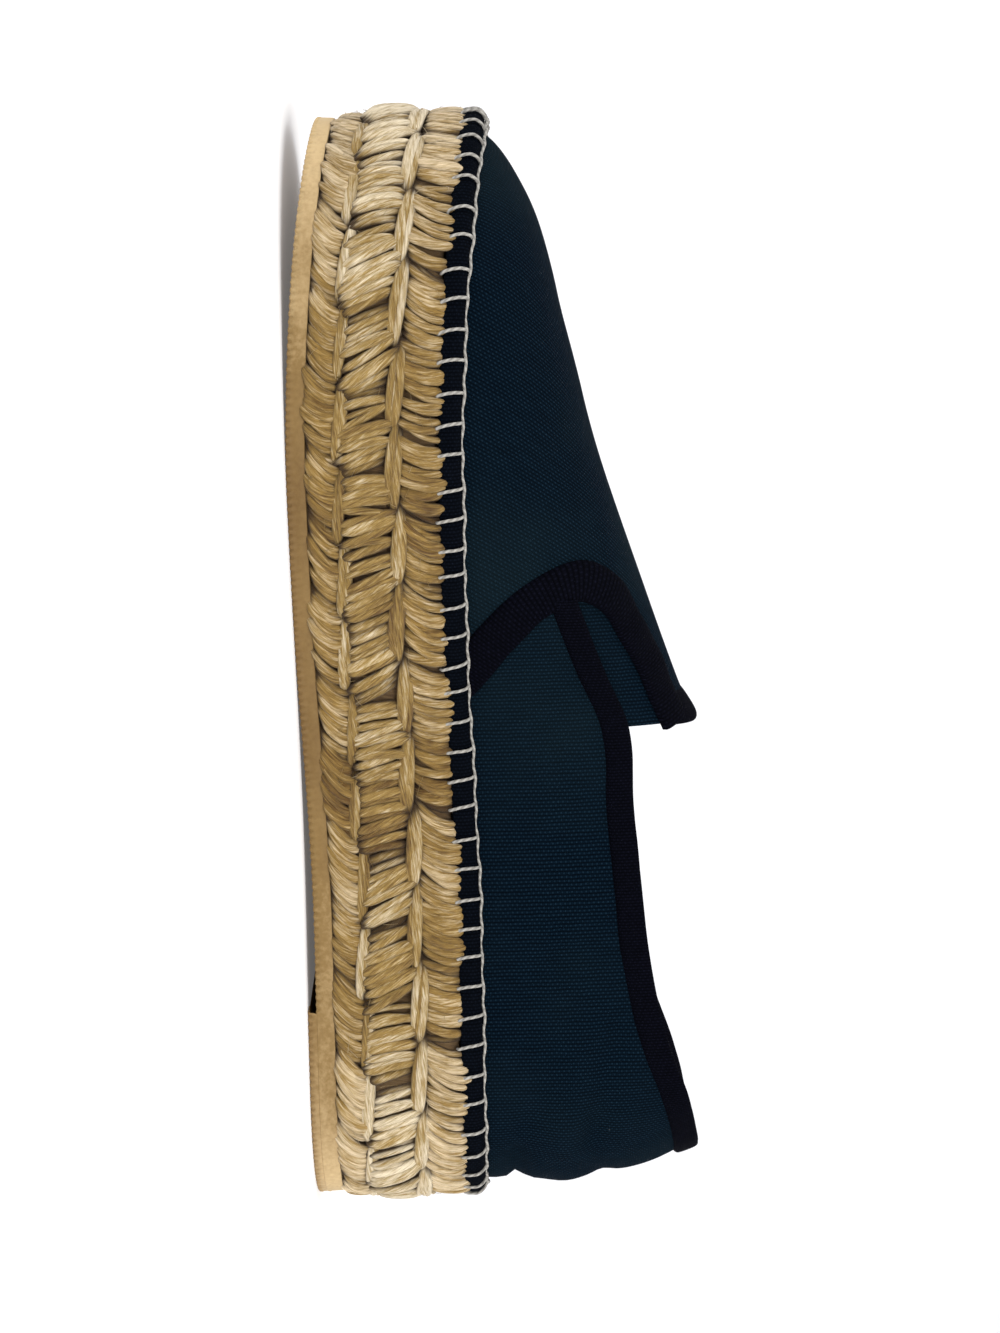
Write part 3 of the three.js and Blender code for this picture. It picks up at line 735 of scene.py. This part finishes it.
def row_of_lobes(name, low, high, crest, slant_heel, slant_toe, shift, arch):
    """One row: each lobe is a fan of strands that arch out and dive in at both ends. low and high
    are its edges over the braid's foot, crest how far it stands out, the slants its strands' lean
    at each end of a lobe, shift the first lobe's start and arch the strands' bow."""
    count = LOBES * YARNS
    jitter = rng.normal(0, 1, (6, count))

    def place(which, u, v):
        yarn = which.astype(int)
        lobe, seat = np.divmod(which, YARNS)
        f = (seat + 0.5) / YARNS
        lobe_shift = 0.5 * np.sin(lobe * 2.4 + shift) + 0.3 * np.sin(lobe * 5.1)
        pitch = AROUND / LOBES
        base = (lobe + shift + f) * pitch + lobe_shift + 0.3 * jitter[0][yarn]
        swell = np.sin(math.pi * np.clip(f, 0.04, 0.96)) ** 0.5
        tall = (high - low) * (0.93 + 0.07 * swell) + 0.35 * jitter[1][yarn]
        middle = (low + high) / 2 + 0.25 * jitter[2][yarn] + 0.35 * np.sin(lobe * 3.7 + 1)
        lean = slant_heel + (slant_toe - slant_heel) * f + 0.10 * jitter[3][yarn] \
            + 0.13 * np.sin(lobe * 1.7 + 5 * shift)
        stand = crest + 0.35 * np.sin(lobe * 2.1 + 9 * shift)

        def path(step):
            at = np.clip(u + step, -0.02, 1.02)
            off = at - 0.5
            along = base + lean * tall * off * (1 + 0.8 * off * np.sign(lean)) \
                + arch * (0.25 - off**2) * 4
            up = middle + tall * off
            arc = np.clip(1 - (2 * np.abs(off)) ** 3.0, -0.1, 1)
            out = stand - 1.0 - 1.5 * (1 - arc) - 1.3 * (1 - swell) + 0.22 * jitter[4][yarn]
            return np.stack([along, up, out], axis=-1)

        taper = 0.55 + 0.45 * np.clip(np.sin(math.pi * np.clip(u, 0.03, 0.97)) * 2.2, 0, 1)
        thick = np.clip(1 + 0.16 * jitter[5][yarn], 0.65, 1.4)
        ropy = 1 + 0.05 * np.sin(2 * math.pi * (u * 3 + v))
        spots = tube(path, 1.12 * taper * thick * ropy, 1.0 * taper, v)
        # Painted shade for each corner: on the strand's inward face, deep under the crest and at
        # the lobe's ends.
        side = 0.5 - 0.5 * (spots - path(0.0))[:, 2]
        sunk = smooth(crest - spots[:, 2], 0.5, 2.6)
        shaded = 0.8 * side**1.3 + 0.8 * sunk + 0.3 * (1 - swell)
        return wrapped(spots, braid_foot), np.clip(shaded, 0, 1)

    piece = laid(name, 12, 9, place, copies=count, bunch=YARNS,
                 chart=lambda which, u, v: (u * (high - low) * 1.15 + 3.1 * which, v + which))
    return piece


jute_low = row_of_lobes("jute_low_row", -0.6, 7.1, -0.7, -0.8, -1.02, 0.35, -0.5)
jute_middle = row_of_lobes("jute_middle_row", 6.6, 18.9, 0.5, 0.40, 0.24, 0.0, 1.1)
jute_top = row_of_lobes("jute_top_row", 19.2, 30.1, -0.1, -0.34, -0.52, 0.55, -0.6)


def chain(name, level, half, crest, shift, strands):
    """Long loops end to end in the channel between two rows, each tucked under the next. level is
    their height over the braid's foot, and half is how far a loop opens up and down."""
    count = LOBES * strands
    jitter = rng.normal(0, 1, (4, count))

    def place(which, u, v):
        loop, strand = np.divmod(which, strands)
        yarn = which.astype(int)
        lie = (strand + 0.5) / strands * 2 - 1
        pitch = AROUND / LOBES
        start = (loop + shift) * pitch + 0.5 * jitter[0][yarn]
        bend = 0.5 * np.sin(loop * 2.9)

        def path(step):
            at = np.clip(u + step, -0.02, 1.02)
            along = start + pitch * 1.22 * (at - 0.12)
            open_ = np.sin(math.pi * np.clip(at, 0, 1)) ** 0.7
            up = level + half * lie * (0.1 + 0.9 * open_) + (at - 0.5) * 1.8 + bend * open_ \
                + 0.12 * jitter[1][yarn]
            out = crest - 3.0 + 2.5 * open_ + 0.8 * (1 - at) * open_ + 0.12 * jitter[2][yarn]
            return np.stack([along, up, out], axis=-1)

        taper = 0.6 + 0.4 * np.clip(np.sin(math.pi * np.clip(u, 0.03, 0.97)) * 2, 0, 1)
        spots = tube(path, 1.0 * taper * (1 + 0.1 * jitter[3][yarn]), 0.85 * taper, v)
        # Painted shade for each corner: on the strand's inward face and deep under the crest.
        side = 0.5 - 0.5 * (spots - path(0.0))[:, 2] / 0.85
        sunk = smooth(crest + 0.6 - spots[:, 2], 0.4, 2.4)
        return wrapped(spots, braid_foot), np.clip(0.8 * side**1.3 + 0.8 * sunk, 0, 1)

    piece = laid(name, 16, 8, place, copies=count,
                 chart=lambda which, u, v: (u * 22 + 5.3 * which, v + which))
    return piece


chain_low = chain("jute_low_chain", 6.9, 1.0, -1.3, 0.2, 2)
chain_high = chain("jute_high_chain", 18.9, 1.25, -0.5, 0.65, 3)
jute.cover(jute_low, jute_top)
pale_jute.cover(jute_middle, chain_low, chain_high)

# The insole

INSOLE_SIDE = table("inset share up", [
    (9.0, 1.0, 0.2), (9.0, 0, 0.2), (6.9, 0, 0.4), (6.7, 0, 1.8), (6.9, 0, 2.6), (7.8, 0, 3.0),
    (10.5, 0, 2.9), (14, 0, 2.7), (14, 0.3, 2.5), (14, 0.6, 2.45), (14, 0.8, 2.4), (14, 1.0, 2.4),
])
insole_place = plain_rings(upper_foot, INSOLE_SIDE)


def insole_chart(which, u, v):
    spots = insole_place(which, u, v)
    return spots[:, 0] / MM, spots[:, 1] / MM


insole_cover = laid("insole_cover", 520, len(INSOLE_SIDE["up"]) - 1, insole_place,
                    chart=insole_chart, flip=True)
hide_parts("insole")
sand.cover(insole_cover)

# The canvas upper: quarters round the heel up to the collar, then the vamp, gores and tongue

LOW_ROWS, HIGH_ROWS = 34, 46
CHART_ROWS, CHART_COLUMNS = 120, 240
CLOTH_TURN = 0.82, 0.57
GORE_TOP, GORE_FRONT = 86, 147
TONGUE_SIDE, SEAM_TOP = (TONGUE_TIP, 73.0), (146.0, 61.6)
(FRONT_START, SEAM_START), _ = on_skin(*np.transpose([TONGUE_SIDE, SEAM_TOP]), 1)
(_, SEAM_END), _ = on_skin(*np.transpose([TONGUE_SIDE, SEAM_TOP]), -1)
FRONT_END = np.interp(ribs(FRONT_START)[0], *LATERAL_LINE)
TOE_MEDIAL, TOE_LATERAL = (np.interp(TOE_CENTRE, *line) for line in (MEDIAL_LINE, LATERAL_LINE))


def front_walk(u):
    """Round the toe, with the two sides' ribs in pairs that meet on the crown line."""
    medial = FRONT_START + (HALF - FRONT_START) * (1 - np.abs(2 * u - 1))
    paired = np.interp(ribs(medial)[0], *LATERAL_LINE)
    round_toe = HALF + (HALF - medial) * (TOE_LATERAL - HALF) / (HALF - TOE_MEDIAL)
    return np.where(u <= 0.5, medial, np.where(medial > TOE_MEDIAL, round_toe, paired))


def back_walk(u):
    return FRONT_END - AROUND + (FRONT_START - FRONT_END + AROUND) * u


def line_climb(walked):
    """How far up each rib the collar's line, carried on round the toe, lies."""
    held = np.where((walked > SEAM_START) & (walked < SEAM_END),
                    np.where(walked < HALF, SEAM_START, SEAM_END), walked)
    return climb_to(held, lambda x: collar_line(x) - 0.4)


def tongue_lift(x, z):
    """How far the tongue's free end stands off the last."""
    return TIP_RISE * smooth(TONGUE_TIP + 9 - x, 0, 10) * smooth(z, 84, 90)


def upper_piece(name, walk_of, columns, rows, climb_of):
    def grid(u, v):
        walked = walk_of(u)
        climb = climb_of(walked, v)
        x, _, z = last(walked, climb)
        gore = smooth(z - collar_line(x), 0, 1.5) * smooth(edge_x(z) - x, 0, 1.5)
        gore = gore * (z < GORE_TOP) * (x > TONGUE_TIP - 6) * (x < GORE_FRONT)
        return canvas(walked, climb, tongue_lift(x, z) * (x > TONGUE_TIP - 3) - GORE_RECESS * gore)

    def chart(which, u, v):
        levels = np.linspace(0, 1, CHART_ROWS + 1)
        places = np.linspace(0, 1, CHART_COLUMNS + 1)
        spots = np.stack([grid(places, np.full(len(places), level)) for level in levels])
        steps = np.linalg.norm(np.diff(spots, axis=0), axis=1)
        up = np.concatenate([np.zeros((1, len(places))), np.cumsum(steps, axis=0)])
        row, column = (np.clip(share * count, 0, count - 0.001)
                       for share, count in ((v, CHART_ROWS), (u, CHART_COLUMNS)))
        r, c = row.astype(int), column.astype(int)
        fr, fc = row - r, column - c
        climbed = (up[r, c] * (1 - fr) + up[r + 1, c] * fr) * (1 - fc) \
            + (up[r, c + 1] * (1 - fr) + up[r + 1, c + 1] * fr) * fc
        whole = up[-1, c] * (1 - fc) + up[-1, c + 1] * fc
        walked = walk_of(u)
        rim_x, rim_y, root_x, root_y, _, _ = ribs(walked)
        reach = np.hypot(rim_x - root_x, rim_y - root_y)
        down = whole - climbed
        flat_x, flat_y = root_x + down * (rim_x - root_x) / reach, down * (rim_y - root_y) / reach
        x, _, z = grid(u, v)
        vamp = (x > edge_x(z)) & (x > TONGUE_TIP - 4) & (name != "quarters")
        ahead, aside = CLOTH_TURN
        turned_x, turned_y = ahead * flat_x - aside * flat_y, aside * flat_x + ahead * flat_y
        return np.where(vamp, turned_x, walked), np.where(vamp, turned_y, climbed)

    return laid(name, columns, rows, lambda which, u, v: in_frame(*grid(u, v)),
                chart=chart, flip=True)


def quarter_climb(walked, v):
    return line_climb(walked) * v


def front_climb(walked, v):
    share = v * (LOW_ROWS + HIGH_ROWS) / LOW_ROWS
    low = line_climb(walked)
    high = low + (1 - low) * np.clip((share - 1) * LOW_ROWS / HIGH_ROWS, 0, 1)
    return np.where(share <= 1, low * share, high)


quarters = upper_piece("quarters", back_walk, 280, LOW_ROWS, quarter_climb)
vamp = upper_piece("vamp", front_walk, 340, LOW_ROWS + HIGH_ROWS, front_climb)
pick(quarters, vamp)
bpy.ops.object.join()
upper_canvas = bpy.context.object
upper_canvas.name = "upper_canvas"
bpy.ops.object.mode_set(mode="EDIT")
bpy.ops.mesh.select_all(action="SELECT")
bpy.ops.mesh.remove_doubles(threshold=2e-5)
bpy.ops.object.mode_set(mode="OBJECT")
wall = upper_canvas.modifiers.new("wall", "SOLIDIFY")
wall.thickness, wall.offset = CANVAS_WALL * MM, -1
bpy.ops.object.modifier_apply(modifier=wall.name)
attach(upper_canvas, "root")
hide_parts("upper")
navy.cover(upper_canvas)

# The bindings

CLIMB_STEP = 0.002
TAPE_FACE = table("at inset grow", [
    (0.0, 0.0, -0.2), (0.03, 0.02, 0.5), (0.09, 0.06, 0.85), (0.2, 0.2, 1.1), (0.45, 0.5, 1.2),
    (0.75, 0.8, 1.1), (0.9, 0.94, 0.85), (0.97, 0.98, 0.5), (1.0, 1.0, -0.2),
])


def slopes(walked, climb):
    """The skin's two directions at each place."""
    along = canvas(walked + 0.5, climb) - canvas(walked - 0.5, climb)
    over, under = np.minimum(climb + CLIMB_STEP, 1), climb - CLIMB_STEP
    upward = (canvas(walked, over) - canvas(walked, under)) / (over - under)
    return along.T, upward.T


def lines_beside(walked, climb, lap, width, steps):
    """Lines on the skin beside a first one, from a lap behind it forward, width apart in all."""
    run = np.gradient(last(walked, climb).T, axis=0)
    along, upward = slopes(walked, climb)
    away = np.cross(np.cross(along, upward), run)
    away /= np.linalg.norm(away, axis=1, keepdims=True)
    away *= np.sign(np.sum(away * np.array([1.0, 0, 0.3]), axis=1, keepdims=True))
    lines = []
    for way in [-lap] + [width / steps] * steps:
        along, upward = slopes(walked, climb)
        aa, ab, bb = (np.sum(p * q, axis=1) for p, q in (
            (along, along), (along, upward), (upward, upward)))
        ra, rb = np.sum(away * along, axis=1), np.sum(away * upward, axis=1)
        det = aa * bb - ab * ab
        walked = walked + way * (ra * bb - rb * ab) / det
        climb = np.clip(climb + way * (rb * aa - ra * ab) / det, 0.01, 0.995)
        lines.append((walked, climb))
    return np.array(lines)


def front_tape(name, sign):
    """The tape along one side of the vamp's edge, from the band up to the tongue's tip."""
    columns, rows, steps = 150, 22, 16
    t = np.linspace(0.035, 1.0, columns + 1)
    walked, climb = on_skin(LENGTH * read(VAMP_EDGE, "along", t),
                            INSTEP_HEIGHT * read(VAMP_EDGE, "up", t), sign)
    lines = lines_beside(walked, climb, FRONT_TAPE_LAP, FRONT_TAPE_WIDTH, steps)

    def place(which, u, v):
        across = read(TAPE_FACE, "inset", v) * steps
        row = np.minimum(across.astype(int), steps - 1)
        part = across - row
        column = np.rint(u * columns).astype(int)
        walked, climb = (
            lines[row, i, column] * (1 - part) + lines[row + 1, i, column] * part for i in (0, 1))
        puff = 0.12 * np.sin(u * 47) + 0.1 * np.sin(u * 23 + 2)
        rise = read(TAPE_FACE, "grow", v)
        return in_frame(*canvas(walked, climb, rise + puff * (rise > 0.4)))

    piece = laid(name, columns, rows, place, flip=sign > 0, closed=False,
                 chart=lambda which, u, v: (u * 95, v * FRONT_TAPE_WIDTH))
    binding.cover(piece)
    return piece


front_tape_medial = front_tape("front_tape_medial", 1)
front_tape_lateral = front_tape("front_tape_lateral", -1)
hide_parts("front_tape")

# forward: from the tongue's free end; grow: outside the canvas's outer face
TONGUE_HEM = table("at forward grow", [
    (0.0, 6.4, -0.2), (0.06, 6.2, 0.1), (0.12, 5.6, 0.35), (0.25, 3.4, 0.75), (0.38, 1.0, 0.95),
    (0.44, -0.3, 0.65), (0.49, -1.1, 0.0), (0.54, -1.3, -0.9), (0.6, -0.8, -2.2), (0.66, 0.8, -2.9),
    (0.8, 4.5, -3.0), (0.92, 7.6, -2.6), (1.0, 7.9, -1.6),
])
TIP_CORNER = on_skin(np.array([TONGUE_TIP]), np.array([83.0]), 1)[1][0]


def hem_place(which, u, v):
    inner = 1 - np.abs(2 * u - 1)
    shown = smooth(inner, 0.0, 0.14)
    forward = read(TONGUE_HEM, "forward", v)
    x = TONGUE_TIP + np.where(forward < 1, 1 + (forward - 1) * shown, forward)
    climb = TIP_CORNER + (1 - TIP_CORNER) * inner
    walked = np.where(u < 0.5, np.interp(x, *MEDIAL_LINE), np.interp(x, *LATERAL_LINE))
    grow = -0.8 + (0.8 + read(TONGUE_HEM, "grow", v)) * shown
    return in_frame(*canvas(walked, climb, grow + tongue_lift(x, last(walked, climb)[2])))


tongue_hem = laid("tongue_hem", 80, 36, hem_place, chart=lambda which, u, v: (u * 60, v * 22))

# below: under the collar's edge; grow: outside the canvas's outer face
COLLAR_FOLD = table("at below grow", [
    (0.0, 5.1, -0.2), (0.04, 5.0, 0.5), (0.1, 4.5, 0.95), (0.22, 2.8, 1.25), (0.36, 0.5, 1.35),
    (0.43, -0.6, 1.0), (0.48, -1.2, 0.2), (0.52, -1.35, -0.8), (0.57, -1.1, -1.9),
    (0.63, -0.4, -2.7), (0.7, 0.6, -3.0), (0.82, 2.8, -2.95), (0.93, 4.7, -2.7), (1.0, 5.1, -1.5),
])


def collar_place(which, u, v):
    start, end = SEAM_END - AROUND, SEAM_START
    walked = start + (end - start) * u
    below = read(COLLAR_FOLD, "below", v)
    climb = climb_to(walked, lambda x: collar_line(x) - below)
    puff = 0.12 * np.sin(walked * 0.31) + 0.1 * np.sin(walked * 0.13 + 1)
    grow = read(COLLAR_FOLD, "grow", v)
    return in_frame(*canvas(walked, climb, grow + puff * (grow > 0.4)))


collar_tape = laid("collar_tape_fold", 420, 34, collar_place, flip=True,
                   chart=lambda which, u, v: (u * 420, v * 19))
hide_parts("collar_tape")
binding.cover(tongue_hem, collar_tape)

# The band round the upper's foot, with its blanket stitches

BAND_SIDE = table("at inset up", [
    (0.0, 5.2, 0.1), (0.1, 2.4, -0.2), (0.17, 1.5, -0.1), (0.32, 1.1, 1.0), (0.5, 1.0, 2.3),
    (0.66, 1.3, 3.5), (0.8, 2.1, 4.4), (0.9, 3.1, 4.9), (1.0, 5.2, 4.9),
])
STITCHES = round(AROUND / STITCH_PITCH)
stitch_drift = rng.normal(0, 0.45, STITCHES)
stitch_lean = rng.normal(0, 0.35, STITCHES)


def band_place(which, u, v):
    walked = u * AROUND
    nearest = np.rint(walked / AROUND * STITCHES).astype(int) % STITCHES
    seat = nearest / STITCHES * AROUND + stitch_drift[nearest]
    off = np.abs((walked - seat + AROUND / 2) % AROUND - AROUND / 2)
    pull = 0.38 * np.exp(-((off / 0.9) ** 2))
    inset = read(BAND_SIDE, "inset", v)
    return ring(walked, inset + pull * (inset < 3),
                lambda x: upper_foot(x) + read(BAND_SIDE, "up", v))


rim_band = laid("rim_band_fabric", 1000, 16, band_place, chart=mm_round(9), flip=True)
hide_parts("rim_band")
banding.cover(rim_band)

BAR = table("at up out", [
    (0.0, -0.9, -2.4), (0.1, -0.5, -1.1), (0.2, 0.1, -0.7), (0.36, 1.2, -0.5), (0.55, 2.6, -0.45),
    (0.72, 3.7, -0.95), (0.86, 4.6, -2.0), (0.94, 5.0, -2.9), (1.0, 5.2, -3.9),
])


def bar_place(which, u, v):
    yarn = which.astype(int)
    seat = which / STITCHES * AROUND + stitch_drift[yarn]

    def path(step):
        at = np.clip(u + step, -0.01, 1.01)
        along = seat + (at - 0.5) * (0.9 + stitch_lean[yarn]) + 0.45 * np.sin(math.pi * at)
        return np.stack([along, read(BAR, "up", at), read(BAR, "out", at)], axis=-1)

    return wrapped(tube(path, BAR_ACROSS, BAR_DEEP, v), upper_foot)


stitch_bars = laid("stitch_bars", 14, 8, bar_place, copies=STITCHES,
                   chart=lambda which, u, v: (u * 8, v + which))


def running_place(which, u, v):
    walked = u * AROUND

    def path(step):
        at = walked + 20 * step
        phase = at / AROUND * STITCHES
        sag = 0.2 * np.cos(2 * math.pi * phase) + 0.15 * np.sin(at * 0.21)
        out = -3.25 + 0.22 * np.cos(2 * math.pi * phase)
        return np.stack([at, BAND_HEIGHT + 0.35 + sag, out], axis=-1)

    return wrapped(tube(path, THREAD_RADIUS, THREAD_RADIUS, v), upper_foot)


running_thread = laid("running_thread", 1100, 8, running_place, chart=mm_round(1))
thread.cover(stitch_bars, running_thread)

FIBRES = 320
fibre_chance = rng.random((6, FIBRES))


def fibre_place(which, u, v):
    """Loose fibres that lift off the rows and bend away."""
    seat, level, turn, long, bow, lift = (row[which.astype(int)] for row in fibre_chance)

    def path(step):
        at = np.clip(u + step, -0.01, 1.01)
        reach = (2.0 + 6.0 * long) * at
        along = seat * AROUND + reach * np.cos(6.3 * turn) + 3.0 * (bow - 0.5) * at**2
        up = np.clip(1 + 26 * level + 0.6 * reach * np.sin(6.3 * turn), 0.5, 27.6)
        out = -1.3 + (0.7 + 1.6 * lift**2) * at * (1.7 - at)
        return np.stack([along, up, out], axis=-1)

    radius = FIBRE_RADIUS * (1 - 0.6 * u)
    return wrapped(tube(path, radius, radius, v), braid_foot)


loose_fibres = laid("loose_fibres", 8, 5, fibre_place, copies=FIBRES,
                    chart=lambda which, u, v: (u * 6 + which, v + which))
pale_jute.cover(loose_fibres)

# The stage: a pale floor that runs up into a wall far behind

bpy.ops.object.select_all(action="DESELECT")
bpy.ops.mesh.primitive_plane_add(size=16, location=(0, 6.6, 0))
floor = bpy.context.object
floor.name = "floor"
bpy.ops.object.transform_apply()
bpy.ops.object.mode_set(mode="EDIT")
bpy.ops.mesh.select_mode(type="EDGE")
bpy.ops.mesh.select_all(action="DESELECT")
bpy.ops.object.mode_set(mode="OBJECT")


def select_far_edge():
    for edge in floor.data.edges:
        ends = [floor.data.vertices[i].co for i in edge.vertices]
        edge.select = all(end.y < 0 and end.z < 1 for end in ends)


select_far_edge()
bpy.ops.object.mode_set(mode="EDIT")
bpy.ops.mesh.extrude_region_move(TRANSFORM_OT_translate={"value": (0, 0, 3)})
bpy.ops.mesh.select_all(action="DESELECT")
bpy.ops.object.mode_set(mode="OBJECT")
select_far_edge()
bpy.ops.object.mode_set(mode="EDIT")
bpy.ops.mesh.bevel(offset=0.6, segments=16)
bpy.ops.object.mode_set(mode="OBJECT")
bpy.ops.object.shade_smooth()
paper = Finish("white_paper", Roughness=0.9, Specular_IOR_Level=0.1, Emission_Color=(1.0, 1.0, 1.0),
               Emission_Strength=0.1)
paper.feed("Base Color", paper.mix(paper.noise(3, 2), (0.86, 0.86, 0.87), (0.90, 0.90, 0.905)))
paper.cover(floor)


def softbox(name, spot, target, size, power, tint=(1.0, 1.0, 1.0)):
    bpy.ops.object.light_add(type="AREA", location=spot)
    lamp = bpy.context.object
    lamp.name = name
    lamp.rotation_mode = "QUATERNION"
    lamp.rotation_quaternion = (Vector(target) - Vector(spot)).to_track_quat("-Z", "Y")
    lamp.data.size, lamp.data.energy, lamp.data.color = size, power, tint


softbox("key", (-0.12, 0.82, 0.52), (0, 0, 0.04), 0.4, 4.6, (1.0, 0.985, 0.96))
softbox("heel_fill", (-0.80, 0.40, 0.22), (-0.1, 0, 0.04), 0.5, 3.4)
softbox("toe_fill", (0.78, 0.42, 0.14), (0.1, 0, 0.02), 0.45, 3.0)
softbox("top", (0.1, -0.25, 1.1), (0, 0, 0.05), 0.9, 5.0)

world = bpy.data.worlds.new("studio")
bpy.context.scene.world = world
world.use_nodes = True
sky = world.node_tree.nodes["Background"].inputs
sky["Color"].default_value, sky["Strength"].default_value = (0.95, 0.96, 1.0, 1), 0.8
bpy.context.scene.view_settings.view_transform = "Standard"

# The camera stands off the medial side, a little above the platform, rolled so that the toe is up
CAMERA_SPOT = Vector((72.0, 563.2, 43.6)) * MM
AIM = Vector((-1.0, 0.0, 45.5)) * MM
YAW, TILT, ROLL = math.radians(6.604), math.radians(5.269), math.radians(-1.127)
facing = Matrix(((0, 0, 1), (-1, 0, 0), (0, -1, 0)))
right, down, forward = (Matrix.Rotation(ROLL, 3, "Z") @ Matrix.Rotation(-TILT, 3, "Y")
                        @ Matrix.Rotation(YAW, 3, "X") @ facing)
swing = forward.rotation_difference(AIM - CAMERA_SPOT)
right, down, forward = swing @ right, swing @ down, swing @ forward
bpy.ops.object.camera_add(location=CAMERA_SPOT)
camera = bpy.context.object
camera.rotation_mode = "QUATERNION"
camera.rotation_quaternion = Matrix((right, -down, -forward)).transposed().to_quaternion()
camera.data.lens, camera.data.sensor_width = 65.0, 36.0
camera.data.clip_start, camera.data.clip_end = 0.01, 50.0
bpy.context.scene.camera = camera
